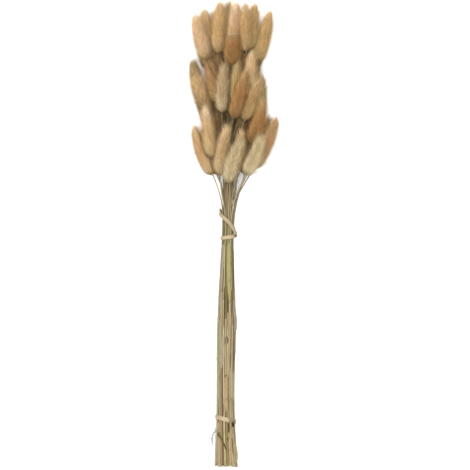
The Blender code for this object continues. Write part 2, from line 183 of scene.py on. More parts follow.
def press_and_sway(places, at, length, rng):
    """Moves a stem's places: sideways where the stems are pressed together, and in slow waves between."""
    stem_y = places[:, 1] / MM
    middle = np.interp(stem_y, MIDDLE_AT, MIDDLE_X) * MM
    pressed = np.interp(stem_y, *zip(*WAIST)) - 1
    pressed *= np.clip((length - at) / FREE_NECK, 0, 1)
    places[:, 0] += (places[:, 0] - middle) * pressed
    starts = rng.uniform(0, 2 * math.pi, 4)
    free = WAVER * MM * np.interp(at, (*FREE_AT, length - FREE_BELOW_HEAD, length), FREE_SHARES)
    places[:, 0] += free * sum(np.sin(at / wave + start) for wave, start in zip(SWAY_WAVES, starts[:2])) / 2
    places[:, 2] += free * sum(np.sin(at / wave + start) for wave, start in zip(LIFT_WAVES, starts[2:])) / 2


def placed(name, data):
    """A new object in the scene, at the origin."""
    obj = bpy.data.objects.new(name, data)
    bpy.context.scene.collection.objects.link(obj)
    return obj


def new_tree(name, inputs):
    """A Geometry Nodes tree with its named inputs, and its input and output nodes."""
    tree = bpy.data.node_groups.new(name, "GeometryNodeTree")
    tree.is_modifier = True
    tree.interface.new_socket("Geometry", in_out="INPUT", socket_type="NodeSocketGeometry")
    tree.interface.new_socket("Geometry", in_out="OUTPUT", socket_type="NodeSocketGeometry")
    for label, kind, value in inputs:
        socket = tree.interface.new_socket(label, in_out="INPUT", socket_type=f"NodeSocket{kind}")
        if value is not None:
            socket.default_value = value
    return tree, tree.nodes.new("NodeGroupInput").outputs, tree.nodes.new("NodeGroupOutput").inputs


def grow(tree, kind, feeds, **settings):
    """Adds a node, sets it up, and feeds its inputs by name or number with values or other outputs."""
    made = tree.nodes.new(kind)
    for label, value in settings.items():
        setattr(made, label, value)
    for label, value in feeds.items():
        socket = made.inputs[label]
        if isinstance(value, bpy.types.NodeSocket):
            tree.links.new(value, socket)
        else:
            socket.default_value = value
    return made.outputs


# Short words for single nodes: each adds its node to the tree and gives what comes out of it
def sums(tree, operation, *values):
    feeds = dict(enumerate(values))
    return grow(tree, "ShaderNodeMath", feeds, operation=operation)[0]


def product(tree, value, *others):
    for other in others:
        value = sums(tree, "MULTIPLY", value, other)
    return value


def vectors(tree, operation, *values):
    feeds = dict(enumerate(values))
    if operation == "SCALE":
        feeds = {0: values[0], "Scale": values[1]}
    return grow(tree, "ShaderNodeVectorMath", feeds, operation=operation)[0]


def vector_of(tree, x, y, z=0.0):
    return grow(tree, "ShaderNodeCombineXYZ", {0: x, 1: y, 2: z})[0]


def parts(tree, vector):
    return grow(tree, "ShaderNodeSeparateXYZ", {0: vector})


def noise(tree, at, scale, detail):
    return grow(tree, "ShaderNodeTexNoise", {"Vector": at, "Scale": scale, "Detail": detail})


def clamped(tree, value, most=1.0):
    return grow(tree, "ShaderNodeClamp", {"Value": value, "Max": most})[0]


def position(tree):
    return grow(tree, "GeometryNodeInputPosition", {})[0]


def read(tree, label, kind="FLOAT"):
    return grow(tree, "GeometryNodeInputNamedAttribute", {"Name": label}, data_type=kind)["Attribute"]


def store(tree, geometry, label, value, kind="FLOAT", domain="POINT"):
    feeds = {"Geometry": geometry, "Name": label, "Value": value}
    return grow(tree, "GeometryNodeStoreNamedAttribute", feeds, data_type=kind, domain=domain)["Geometry"]


def span(tree, value, reads, gives=(0.0, 1.0)):
    """Carries a value over from one range to another, and holds it at the ends."""
    labels = ("Value", "From Min", "From Max", "To Min", "To Max")
    return grow(tree, "ShaderNodeMapRange", dict(zip(labels, (value, *reads, *gives))))[0]


# How far all that grows stays above the table, and the table's face below nought
TABLE_CLEARANCE = 0.1 * MM


def above_table(tree, geometry):
    """Lifts what would reach through the table onto it."""
    x, y, z = parts(tree, position(tree))
    place = vector_of(tree, x, y, sums(tree, "MAXIMUM", z, TABLE_CLEARANCE))
    return grow(tree, "GeometryNodeSetPosition", {"Geometry": geometry, "Position": place})[0]


# A stalk's map. The straw has its lower half. The fur has a strip above it, from the head's foot on the left
# to its tip on the right, with the hairs' roots at the bottom of the strip and their ends at the top.
STRAW_MAP = (0.5, 0.01)
FUR_MAP_ALONG = (0.9, 0.05)
FUR_MAP_ROOTS = 0.56
FUR_MAP_HEIGHT = 0.42
CORE_MAP = (0.02, 0.55)


def skin_tree():
    """Sweeps a ridged round along a stalk's line, and lays out its map: round the straw across the map, and
    along it up the map's lower half. The head's core has the strip of the hairs' roots."""
    tree, inputs, outputs = new_tree("stalk skin", [
        ("Sides", "Int", STEM_SIDES),
        ("Ridge depth", "Float", RIDGE_DEPTH),
        ("Straw", "Material", None),
        ("Fur", "Material", None),
    ])
    curve = grow(tree, "GeometryNodeMeshToCurve", {"Mesh": inputs["Geometry"]})[0]
    curve = store(tree, curve, "axis", grow(tree, "GeometryNodeInputTangent", {})[0], "FLOAT_VECTOR")

    circle = grow(tree, "GeometryNodeCurvePrimitiveCircle", {"Resolution": inputs["Sides"], "Radius": 1.0})[0]
    turn = grow(tree, "GeometryNodeSplineParameter", {})["Factor"]
    circle = store(tree, circle, "round", sums(tree, "ABSOLUTE", sums(tree, "MULTIPLY_ADD", turn, 2.0, -1.0)))
    wave = sums(tree, "COSINE", product(tree, turn, math.pi * STEM_SIDES))
    ridge = sums(tree, "MULTIPLY_ADD", wave, inputs["Ridge depth"], 1.0)
    ridged = vectors(tree, "SCALE", position(tree), ridge)
    circle = grow(tree, "GeometryNodeSetPosition", {"Geometry": circle, "Position": ridged})[0]
    skin = grow(tree, "GeometryNodeCurveToMesh", {
        "Curve": curve, "Profile Curve": circle, "Scale": read(tree, "thick"), "Fill Caps": True})[0]

    fur = grow(tree, "FunctionNodeCompare", {0: read(tree, "fur"), 1: 0.5}, operation="GREATER_THAN")[0]
    around, along = read(tree, "round"), read(tree, "along")
    straw_at = vector_of(tree, around, sums(tree, "MULTIPLY_ADD", along, *STRAW_MAP))
    up_strip = sums(tree, "MULTIPLY_ADD", around, *CORE_MAP)
    core_at = vector_of(tree, sums(tree, "MULTIPLY_ADD", along, *FUR_MAP_ALONG), up_strip)
    map_at = grow(tree, "GeometryNodeSwitch", {
        "Switch": fur, "False": straw_at, "True": core_at}, input_type="VECTOR")[0]
    skin = store(tree, skin, "OFBake", map_at, "FLOAT2", "CORNER")
    skin = grow(tree, "GeometryNodeSetMaterial", {"Geometry": skin, "Material": inputs["Straw"]})[0]
    skin = grow(tree, "GeometryNodeSetMaterial", {
        "Geometry": skin, "Selection": fur, "Material": inputs["Fur"]})[0]
    skin = grow(tree, "GeometryNodeSetShadeSmooth", {"Geometry": skin, "Shade Smooth": True})[0]
    tree.links.new(above_table(tree, skin), outputs["Geometry"])
    return tree


def shader_of(name, roughness, gloss=0.15):
    """A new material, its node tree and its shader."""
    made = bpy.data.materials.new(name)
    made.use_nodes = True
    shader = made.node_tree.nodes["Principled BSDF"]
    shader.inputs["Roughness"].default_value = roughness
    shader.inputs["Specular IOR Level"].default_value = gloss
    return made, made.node_tree, shader


def attribute(tree, label):
    return grow(tree, "ShaderNodeAttribute", {}, attribute_name=label)["Fac"]


def ramp(tree, value, stops):
    """A colour read from stops of (place, colour)."""
    made = tree.nodes.new("ShaderNodeValToRGB")
    made.color_ramp.interpolation = "EASE"
    elements = made.color_ramp.elements
    while len(elements) < len(stops):
        elements.new(0.5)
    for element, (place, colour) in zip(elements, stops):
        element.position = place
        element.color = (*colour, 1.0)
    tree.links.new(value, made.inputs[0])
    return made.outputs["Color"]


def mix(tree, share, first, second, blend="MIX"):
    """A share of the second colour in the first, by the node's inputs and output for colours."""
    first, second = ((*value, 1.0) if isinstance(value, tuple) else value for value in (first, second))
    return grow(tree, "ShaderNodeMix", {0: share, 6: first, 7: second}, data_type="RGBA", blend_type=blend)[2]


def times(tree, colour, tone):
    """A colour made lighter or darker by a number."""
    tones = grow(tree, "ShaderNodeCombineColor", {0: tone, 1: tone, 2: tone})[0]
    return mix(tree, 1.0, colour, tones, "MULTIPLY")


def dimmed(colour, share):
    return tuple(share * c for c in colour)


def own_map(tree):
    return grow(tree, "ShaderNodeUVMap", {}, uv_map="OFBake")[0]


def map_noise(tree, scale_across, scale_up, detail, low, high):
    """A noise over the piece's own map, stretched along or across it, between two values."""
    stretched = vectors(tree, "MULTIPLY", own_map(tree), (scale_across, scale_up, 0.0))
    return span(tree, noise(tree, stretched, 1.0, detail)[0], (0.3, 0.7), (low, high))


# Each: the colours of the straw's cut end, its middle, its part among the heads, which is darker as painted
# shade, and its neck
STRAWS = {
    "olive": ((0.251, 0.199, 0.103), (0.16, 0.146, 0.061), (0.117, 0.089, 0.039), (0.203, 0.161, 0.089)),
    "straw": ((0.319, 0.251, 0.137), (0.244, 0.207, 0.094), (0.141, 0.108, 0.049), (0.279, 0.224, 0.127)),
    "tan": ((0.284, 0.204, 0.113), (0.207, 0.16, 0.077), (0.127, 0.085, 0.039), (0.237, 0.177, 0.102)),
    "grey": ((0.251, 0.199, 0.124), (0.211, 0.193, 0.117), (0.113, 0.089, 0.045), (0.246, 0.207, 0.131)),
    "green": ((0.261, 0.228, 0.103), (0.197, 0.179, 0.068), (0.113, 0.094, 0.038), (0.22, 0.182, 0.097)),
    "brown": ((0.16, 0.113, 0.057), (0.103, 0.077, 0.034), (0.08, 0.053, 0.024), (0.161, 0.114, 0.059)),
}
# The straws of the bundle's left edge, its middle and its right edge, and where the edges begin, in mm
STRAWS_ACROSS = (("grey", "grey", "olive"), ("straw", "green", "tan", "brown"), ("olive", "brown", "green"))
EDGES_AT = (-3.2, 3.0)
STRAW_OF = {"low_1": "grey", "low_2": "brown", "low_5": "olive", "low_6": "grey", "low_7": "brown"}
# How much a straw's neck is dimmed just under the heads: painted shade
NECK_PAINTED_SHADE = (0.76, 0.72, 0.66)
# The straw's colour far up among the heads: painted shade
STRAW_IN_PAINTED_SHADE = (0.125, 0.074, 0.032)
PALE_SHEATH = (0.36, 0.3, 0.18)
DARK_KNOT = (0.13, 0.08, 0.035)


def straw_material(name, butt, middle, shaded, neck):
    """Dry straw: its colour along the stem, fine streaks lengthwise, blotches, dark knots, pale sheaths, and
    painted shade: dimmed under the heads, darker among them, and darker where the stalks are crowded. Heights
    are shares of the bunch's length."""
    made, tree, shader = shader_of(name, 0.6)
    height = attribute(tree, "height")
    low = dimmed(butt, 0.82)
    neck_in_painted_shade = tuple(shade * c for shade, c in zip(NECK_PAINTED_SHADE, neck))
    # Along the ramp the straw is dimmed under the heads and darker among them: painted shade
    colour = ramp(tree, height, [
        (0.0, butt), (0.09, butt), (0.15, low), (0.27, low), (0.42, middle), (0.5, middle), (0.56, neck),
        (0.6, neck_in_painted_shade), (0.7, shaded)])
    below_head = span(tree, attribute(tree, "along"), (0.82, 0.92))
    below_low_heads = span(tree, height, (0.68, 0.64))
    colour = mix(tree, product(tree, below_head, below_low_heads), colour, neck)
    # High among the heads the straw goes over to a near black: painted shade
    colour = mix(tree, span(tree, height, (0.8, 0.85)), colour, STRAW_IN_PAINTED_SHADE)
    colour = times(tree, colour, map_noise(tree, 9.0, 5.0, 2.0, 0.72, 1.22))
    blotch = clamped(tree, map_noise(tree, 2.5, 46.0, 3.0, -1.2, 0.75))
    colour = mix(tree, blotch, colour, dimmed(neck, 0.45))
    colour = mix(tree, product(tree, attribute(tree, "sheath"), 0.35), colour, PALE_SHEATH)
    colour = mix(tree, product(tree, attribute(tree, "mark"), 0.4), colour, DARK_KNOT)
    # Painted shade where other stalks crowd round the straw, strongest among the heads
    deepest_painted_shade = span(tree, height, (0.62, 0.72), (0.72, 0.15))
    colour = times(tree, colour, span(tree, attribute(tree, "crowded"), (0.0, 0.7), (1.0, deepest_painted_shade)))
    tree.links.new(colour, shader.inputs["Base Color"])
    return made


stalk_skin = skin_tree()
straws = {kind: straw_material(f"{kind} straw", *colours) for kind, colours in STRAWS.items()}


# The furry heads
# A head is one dense spike of spikelets. What shows is its fur: a close undercoat of soft hairs that lean
# towards the tip, a looser outer coat, and a few long awns. All of it grows from a slim core.
HEAD_OUTLINE_AT = (0.0, 0.02, 0.05, 0.1, 0.2, 0.35, 0.5, 0.65, 0.78, 0.88, 0.95, 1.0)
POINTED = (0.15, 0.55, 0.82, 0.95, 1.0, 0.98, 0.92, 0.82, 0.68, 0.5, 0.3, 0.1)
BLUNT = (0.15, 0.5, 0.76, 0.9, 0.98, 1.0, 0.98, 0.88, 0.72, 0.5, 0.3, 0.08)
SKIN_SHARES = {"top": 0.73, "mid": 0.64, "low": 0.64}
SKIN_SHARE_BENEATH = 0.8
# Two heads at the left, whose fur stands against their neighbours
SKIN_SHARE_OF = {"mid_1": 0.72, "mid_2": 0.86}
SKIN_ENDS = {"top": 0.89, "mid": 0.91, "low": 0.91}
HEAD_RING_STEP = 1.6
LEAST_CORE = 0.2


def stalk_line(node, skin_share, skin_end, head_outline, rng):
    """One stalk as a line of vertices: its place, radius, and what grows on it at each."""
    centres, widest = ring_centres(node)
    foot = len(centres) - HEAD_RING_COUNT - 2
    stem, head = centres[: foot + 1], centres[foot:]
    head_radius = widest / CORE_SHARE
    head = np.vstack([head[:-1], head[0] + (head[-1] - head[0]) / CORE_TIP])
    stem_length, head_length = line_length(stem) / MM, line_length(head) / MM
    whole = np.vstack([stem, head[1:]])

    at, radius, mark, sheath = stem_rings(stem_length, rng)
    shares = np.linspace(0.0, skin_end, int(head_length / HEAD_RING_STEP))
    outline = np.interp(shares / skin_end, HEAD_OUTLINE_AT, head_outline) * skin_share * head_radius / MM
    head_at = stem_length + shares * head_length
    places = smooth_line(whole, np.concatenate([at, head_at[1:]]) * MM)
    press_and_sway(places[: len(at)], at, stem_length, rng)

    none = np.zeros(len(shares) - 1)
    return {
        "places": places,
        "thick": np.concatenate([radius, np.maximum(outline[1:], LEAST_CORE)]) * MM,
        "fur": np.concatenate([np.zeros(len(at)), none + 1.0]),
        "along": np.concatenate([at / stem_length, shares[1:] / skin_end]),
        "height": (places[:, 1] - cad_low[1]) / (cad_high[1] - cad_low[1]),
        "mark": np.concatenate([mark, none]),
        "sheath": np.concatenate([sheath, none]),
    }


def line_object(name, line):
    """The stalk's line as a mesh of edges, with its numbers on the vertices."""
    mesh = bpy.data.meshes.new(name)
    count = len(line["places"])
    mesh.from_pydata(line["places"].tolist(), [(i, i + 1) for i in range(count - 1)], [])
    for label in ("thick", "fur", "along", "height", "mark", "sheath"):
        mesh.attributes.new(label, "FLOAT", "POINT").data.foreach_set("value", line[label])
    return placed(name, mesh)


def crowd_tree():
    """Marks on a stalk's skin how closely the other stalks crowd round it: four looks outwards and up from
    each place, each counted by how near it meets a stalk. The mark sets painted shade on the straw and the
    hairs there, and shortens the hairs."""
    tree, inputs, outputs = new_tree("crowded places", [
        ("Crowd", "Object", None),
        ("Reach", "Float", 17.0),
        ("Stand off", "Float", 0.8),
        ("Outwards", "Float", 1.2),
        ("Upwards", "Vector", (0.0, 0.0, 0.7)),
        ("Spread", "Float", 0.7),
    ])
    crowd = grow(tree, "GeometryNodeObjectInfo", {"Object": inputs["Crowd"]})["Geometry"]
    normal = grow(tree, "GeometryNodeInputNormal", {})[0]
    stand_off = vectors(tree, "SCALE", normal, product(tree, inputs["Stand off"], MM))
    clear = vectors(tree, "ADD", position(tree), stand_off)
    outwards = vectors(tree, "ADD", vectors(tree, "SCALE", normal, inputs["Outwards"]), inputs["Upwards"])
    sight = product(tree, inputs["Reach"], MM)
    total = 0.0
    looks = ((1, 0, 0), (-1, 0, 0), (0, 1, 0), (0, -1, 0))
    for side in looks:
        way = vectors(tree, "ADD", outwards, vectors(tree, "SCALE", side, inputs["Spread"]))
        met = grow(tree, "GeometryNodeRaycast", {
            "Target Geometry": crowd, "Source Position": clear,
            "Ray Direction": vectors(tree, "NORMALIZE", way), "Ray Length": sight})
        near = sums(tree, "SUBTRACT", 1.0, sums(tree, "DIVIDE", met["Hit Distance"], sight))
        near = product(tree, met["Is Hit"], near)
        total = sums(tree, "MULTIPLY_ADD", near, 1 / len(looks), total)
    tree.links.new(store(tree, inputs["Geometry"], "crowded", total), outputs["Geometry"])
    return tree


def coat_tree():
    """Grows one coat of hairs on the furry part of a stalk's skin. A hair is a closed spike, wide at its
    root. It leaves the skin aslant, leans towards the head's tip, and bends back towards it."""
    tree, inputs, outputs = new_tree("coat of hairs", [
        ("Hairs per square mm", "Float", 2.0),
        ("More at tip", "Float", 2.2),
        ("Length", "Float", 4.0),
        ("Length spread", "Float", 0.25),
        ("Pressed length", "Float", 0.5),
        ("Width", "Float", 0.25),
        ("Stand", "Float", 0.35),
        ("Stand at tip", "Float", 0.4),
        ("Unruly", "Float", 0.15),
        ("Tufts", "Float", 0.2),
        ("Tuft scale", "Float", 320.0),
        ("Bend", "Float", 0.2),
        ("Segments", "Int", 1),
        ("Map width", "Float", 0.012),
        ("Map scatter", "Float", 0.014),
        ("Map blotches", "Float", 0.8),
        ("Blotch scale", "Float", 230.0),
        ("Shade", "Float", 0.9),
        ("Flank shade", "Float", 0.85),
        ("Seed", "Int", 1),
        ("Fur", "Material", None),
    ])
    skin = inputs["Geometry"]
    seed = inputs["Seed"]
    furry = grow(tree, "FunctionNodeCompare", {0: read(tree, "fur"), 1: 0.99}, operation="GREATER_THAN")[0]
    tip_share = span(tree, read(tree, "along"), (0.7, 1.0), (1.0, inputs["More at tip"]))
    density = product(tree, inputs["Hairs per square mm"], 1e6, tip_share)
    points, normal, _ = grow(tree, "GeometryNodeDistributePointsOnFaces", {
        "Mesh": skin, "Selection": furry, "Density": density, "Seed": seed})

    hair = grow(tree, "GeometryNodeMeshCone", {
        "Vertices": 3, "Side Segments": inputs["Segments"], "Radius Top": 0.0, "Radius Bottom": 0.5,
        "Depth": 1.0}, fill_type="NGON")["Mesh"]
    x, _, z = parts(tree, position(tree))
    hair = store(tree, hair, "side", x)
    hair = store(tree, hair, "reach", z)

    def random_between(low, high, salt, kind="FLOAT"):
        """A random value for each hair. Each kind has its own pair of inputs and its own output."""
        first, drawn = {"FLOAT": (2, 1), "FLOAT_VECTOR": (0, 0)}[kind]
        feeds = {"Seed": sums(tree, "ADD", seed, salt), first: low, first + 1: high}
        return grow(tree, "FunctionNodeRandomValue", feeds, data_type=kind)[drawn]

    axis = read(tree, "axis", "FLOAT_VECTOR")
    stray = random_between((-1, -1, -1), (1, 1, 1), 11, "FLOAT_VECTOR")
    closing = span(tree, read(tree, "along"), (0.66, 1.0), (1.0, inputs["Stand at tip"]))
    stand = product(tree, inputs["Stand"], closing)
    way = vectors(tree, "ADD", axis, vectors(tree, "SCALE", normal, stand))
    way = vectors(tree, "ADD", way, vectors(tree, "SCALE", stray, inputs["Unruly"]))
    place = position(tree)
    lumps = noise(tree, place, inputs["Tuft scale"], 1.0)["Color"]
    tufts = product(tree, inputs["Tufts"], closing)
    tuft = vectors(tree, "SCALE", vectors(tree, "SUBTRACT", lumps, (0.5, 0.5, 0.5)), tufts)
    way = vectors(tree, "ADD", way, tuft)
    way = vectors(tree, "NORMALIZE", way)
    turn = grow(tree, "FunctionNodeAlignRotationToVector", {"Vector": way}, axis="Z")[0]
    uneven = sums(tree, "MULTIPLY_ADD", random_between(-1.0, 1.0, 23), inputs["Length spread"], 1.0)
    pressed = span(tree, read(tree, "crowded"), (0.0, 0.5), (1.0, inputs["Pressed length"]))
    length = product(tree, inputs["Length"], pressed, uneven, MM)
    width = product(tree, inputs["Width"], random_between(0.75, 1.25, 31), MM)
    size = vector_of(tree, width, width, length)
    points = store(tree, points, "way", way, "FLOAT_VECTOR")
    points = store(tree, points, "hair_length", length)
    lands = vectors(tree, "ADD", place, vectors(tree, "SCALE", way, product(tree, length, 0.6)))
    blotch = noise(tree, lands, inputs["Blotch scale"], 1.5)[0]
    blotch = product(tree, sums(tree, "SUBTRACT", blotch, 0.5), inputs["Map blotches"])
    scatter = sums(tree, "MULTIPLY_ADD", random_between(-1.0, 1.0, 47), inputs["Map scatter"], blotch)
    points = store(tree, points, "scatter", scatter)

    # Painted shade: hairs among crowding heads and on a head's flanks sit low on the map, in the roots' dark
    # colour
    crevice_painted_shade = clamped(tree, product(tree, read(tree, "crowded"), 2.0))
    flank_painted_shade = span(tree, parts(tree, normal)["Z"], (0.75, 0.1), (0.0, inputs["Flank shade"]))
    points = store(tree, points, "hidden", sums(tree, "MAXIMUM", crevice_painted_shade, flank_painted_shade))
    hairs = grow(tree, "GeometryNodeInstanceOnPoints", {
        "Points": points, "Instance": hair, "Rotation": turn, "Scale": size})[0]
    hairs = grow(tree, "GeometryNodeRealizeInstances", {"Geometry": hairs})[0]

    reach = read(tree, "reach")
    bow = product(tree, reach, reach, read(tree, "hair_length"), inputs["Bend"])
    pull = vectors(tree, "SUBTRACT", read(tree, "axis", "FLOAT_VECTOR"), read(tree, "way", "FLOAT_VECTOR"))
    offset = vectors(tree, "SCALE", pull, bow)
    hairs = grow(tree, "GeometryNodeSetPosition", {"Geometry": hairs, "Offset": offset})[0]
    hairs = store(tree, hairs, "fur", 0.0)

    across = sums(tree, "MULTIPLY_ADD", read(tree, "along"), *FUR_MAP_ALONG)
    across = sums(tree, "ADD", read(tree, "scatter"), across)
    across = sums(tree, "MULTIPLY_ADD", read(tree, "side"), inputs["Map width"], across)
    lit = sums(tree, "SUBTRACT", 1.0, product(tree, read(tree, "hidden"), inputs["Shade"]))
    up = sums(tree, "MULTIPLY_ADD", product(tree, reach, lit), FUR_MAP_HEIGHT, FUR_MAP_ROOTS)
    map_at = vector_of(tree, clamped(tree, across), up)
    hairs = store(tree, hairs, "OFBake", map_at, "FLOAT2", "CORNER")
    hairs = grow(tree, "GeometryNodeSetMaterial", {"Geometry": hairs, "Material": inputs["Fur"]})[0]
    hairs = above_table(tree, hairs)
    both = tree.nodes.new("GeometryNodeJoinGeometry")
    tree.links.new(hairs, both.inputs[0])
    tree.links.new(skin, both.inputs[0])
    tree.links.new(both.outputs[0], outputs["Geometry"])
    return tree


def add_tree(obj, tree, values):
    """Puts a tree on an object, with its inputs set by their identifiers."""
    modifier = obj.modifiers.new(tree.name, "NODES")
    modifier.node_group = tree
    for item in tree.interface.items_tree:
        if item.item_type == "SOCKET" and item.in_out == "INPUT" and item.name in values:
            modifier[item.identifier] = values[item.name]


def finished(source, name):
    """The evaluated source as a plain mesh object at the origin. The source goes."""
    evaluated = source.evaluated_get(bpy.context.evaluated_depsgraph_get())
    mesh = bpy.data.meshes.new_from_object(evaluated)
    mesh.name = name
    made = placed(name, mesh)
    bpy.data.objects.remove(source)
    return made


# Each: the colours of the head's foot, its heart and its tip, and of its hairs' roots
COATS = {
    "cream": ((0.86, 0.779, 0.514), (0.742, 0.62, 0.366), (0.721, 0.594, 0.36), (0.144, 0.091, 0.037)),
    "pinkish grey": ((0.68, 0.565, 0.34), (0.55, 0.41, 0.222), (0.535, 0.385, 0.215), (0.118, 0.068, 0.028)),
    "pale tan": ((0.721, 0.562, 0.329), (0.71, 0.509, 0.265), (0.784, 0.583, 0.329), (0.134, 0.077, 0.029)),
    "pink tipped": ((0.678, 0.519, 0.276), (0.636, 0.435, 0.212), (0.806, 0.636, 0.424), (0.13, 0.075, 0.03)),
    "tan": ((0.636, 0.466, 0.228), (0.625, 0.408, 0.178), (0.7, 0.51, 0.285), (0.124, 0.066, 0.023)),
    "russet": ((0.678, 0.519, 0.286), (0.594, 0.366, 0.17), (0.583, 0.403, 0.201), (0.12, 0.065, 0.024)),
    "olive tan": ((0.567, 0.453, 0.216), (0.536, 0.391, 0.17), (0.515, 0.381, 0.185), (0.113, 0.068, 0.023)),
    "olive footed": ((0.22, 0.145, 0.058), (0.57, 0.375, 0.175), (0.24, 0.165, 0.072), (0.1, 0.056, 0.02)),
    "orange": ((0.44, 0.275, 0.11), (0.47, 0.245, 0.082), (0.6, 0.4, 0.18), (0.11, 0.05, 0.014)),
    "orange tipped": ((0.594, 0.456, 0.212), (0.604, 0.408, 0.17), (0.7, 0.44, 0.21), (0.113, 0.062, 0.021)),
    "brown": ((0.41, 0.26, 0.112), (0.4, 0.22, 0.085), (0.474, 0.299, 0.134), (0.093, 0.047, 0.016)),
    "rose": ((0.633, 0.48, 0.246), (0.721, 0.482, 0.278), (0.86, 0.689, 0.456), (0.144, 0.08, 0.034)),
    "faded rose": ((0.594, 0.445, 0.233), (0.636, 0.424, 0.239), (0.721, 0.519, 0.297), (0.13, 0.072, 0.029)),
    # The shaded and the dark coat are painted shade, worn by heads that lie beneath the others
    "shaded": ((0.36, 0.24, 0.1), (0.37, 0.22, 0.092), (0.4, 0.26, 0.12), (0.1, 0.056, 0.021)),
    "dark": ((0.185, 0.118, 0.052), (0.196, 0.113, 0.046), (0.227, 0.144, 0.067), (0.052, 0.029, 0.011)),
}
# How far up a head its foot's colour reaches
USUAL_FOOT_REACH = 0.38
FOOT_REACH = {"olive footed": 0.55}
COAT_OF = {
    "low_1": "russet", "low_2": "pink tipped", "low_3": "pale tan", "low_4": "cream", "low_5": "tan",
    "low_6": "cream", "low_7": "russet", "mid_1": "olive footed", "mid_2": "brown",
    "mid_3": "pinkish grey", "mid_4": "orange", "mid_5": "tan", "mid_6": "pale tan",
    "mid_7": "olive tan", "mid_8": "olive tan", "mid_9": "orange", "top_1": "faded rose", "top_2": "tan",
    "top_3": "tan", "top_4": "olive tan", "top_5": "rose", "top_6": "orange", "top_7": "tan",
    # top_20, top_21 and mid_20 to mid_22 lie beneath the others, in coats of painted shade
    "top_8": "orange tipped", "top_9": "orange tipped", "top_20": "shaded", "top_21": "shaded",
    "mid_20": "dark", "mid_21": "dark", "mid_22": "dark",
}
HIDDEN_COATS = ("tan", "brown", "olive tan")
FLUSH = (0.62, 0.4, 0.235)
PALE_HAIR_ENDS = (0.8, 0.66, 0.42)


def fur_material(name, foot, heart, tip, root, foot_reach):
    """Fur: the coat's colour along the head, uneven and flushed in places, darker at the hairs' roots and
    paler at their ends."""
    made, tree, shader = shader_of(name, 0.9, 0.03)
    across, up, _ = parts(tree, own_map(tree))
    colour = ramp(tree, across, [
        (0.5 * foot_reach - 0.16, foot), (foot_reach, heart), (0.62, heart), (0.95, tip)])
    flushed = clamped(tree, map_noise(tree, 8.0, 0.2, 1.0, -0.35, 0.45), 0.4)
    colour = mix(tree, flushed, colour, FLUSH)
    fine = map_noise(tree, 130.0, 0.4, 1.0, 0.64, 1.28)
    broad = map_noise(tree, 13.0, 0.3, 1.0, 0.66, 1.3)
    colour = times(tree, colour, product(tree, fine, broad))
    # The roots' dark colour is also the painted shade of hairs that their coat sets low on the map
    colour = mix(tree, span(tree, up, (FUR_MAP_ROOTS, 0.84), (0.9, 0.0)), colour, root)
    colour = mix(tree, span(tree, up, (0.8, 0.98), (0.0, 0.25)), colour, PALE_HAIR_ENDS)
    tree.links.new(colour, shader.inputs["Base Color"])
    return made


# Each coat: hairs per square mm, their length, its spread, width, stand, waywardness, tufts, bend, segments
UNDERCOAT = (1.9, 4.4, 0.35, 0.36, 0.36, 0.2, 0.6, 0.2, 1)
OUTER_COAT = (1.8, 8.2, 0.5, 0.26, 0.58, 0.45, 1.1, 0.3, 1)
AWNS = (1.3, 10.0, 0.4, 0.16, 0.85, 0.55, 0.9, 0.35, 1)
COAT_INPUTS = (
    "Hairs per square mm", "Length", "Length spread", "Width", "Stand", "Unruly", "Tufts", "Bend", "Segments")
HIDDEN_THIN = 0.5
# How strongly shade is painted on the hairs where the heads crowd each other and on the heads' flanks
CREVICE_SHADE = {"top": 0.66, "mid": 0.9, "low": 0.86}
# Where the straws are sorted by colour: round this place, and this far up and down, in mm
SORTED_AT = (-7.0, -60.0)
SORTED_REACH = 60.0


def joined(pieces):
    """The meshes of several pieces as one."""
    whole = bmesh.new()
    for piece in pieces:
        whole.from_mesh(piece.data)
    return whole


closeness = crowd_tree()
coat = coat_tree()
coats = {
    kind: fur_material(f"{kind} fur", *colours, FOOT_REACH.get(kind, USUAL_FOOT_REACH))
    for kind, colours in COATS.items()
}
stalks = sorted(node for node in frame["nodes"] if node.startswith("stalk_"))
bare = {}
for number, node in enumerate(stalks):
    rng = np.random.default_rng(100 + number)
    name = node.removeprefix("stalk_")
    tier = name.split("_")[0]
    shown = COAT_OF.get(name, "dark") not in ("dark", "shaded")
    skin_share = SKIN_SHARE_OF.get(name, SKIN_SHARES[tier]) if shown else SKIN_SHARE_BENEATH
    line = stalk_line(node, skin_share, SKIN_ENDS[tier], BLUNT if tier == "top" else POINTED, rng)
    sorted_here = np.abs(line["places"][:, 1] - SORTED_AT[1] * MM) < SORTED_REACH * MM
    aside = line["places"][sorted_here, 0].mean() / MM - SORTED_AT[0]
    by_place = rng.choice(STRAWS_ACROSS[int(np.searchsorted(EDGES_AT, aside))])
    straw = straws[STRAW_OF.get(name, by_place)]
    fur = coats[COAT_OF[name] if name in COAT_OF else rng.choice(HIDDEN_COATS)]
    source = line_object(f"line_{name}", line)
    add_tree(source, stalk_skin, {"Straw": straw, "Fur": fur})
    bare[name] = (finished(source, f"bare_{name}"), fur, shown, number)

# The bare stalks together, which the hairs of a head look out at: hairs that stand far in among the heads
# are painted in shade, with the dark colour of their roots, and so are the straws there.
whole = joined(piece for piece, *_ in bare.values())
crowd_mesh = bpy.data.meshes.new("crowd")
whole.to_mesh(crowd_mesh)
stalk_tops = BVHTree.FromBMesh(whole)
whole.free()
crowd = placed("crowd", crowd_mesh)

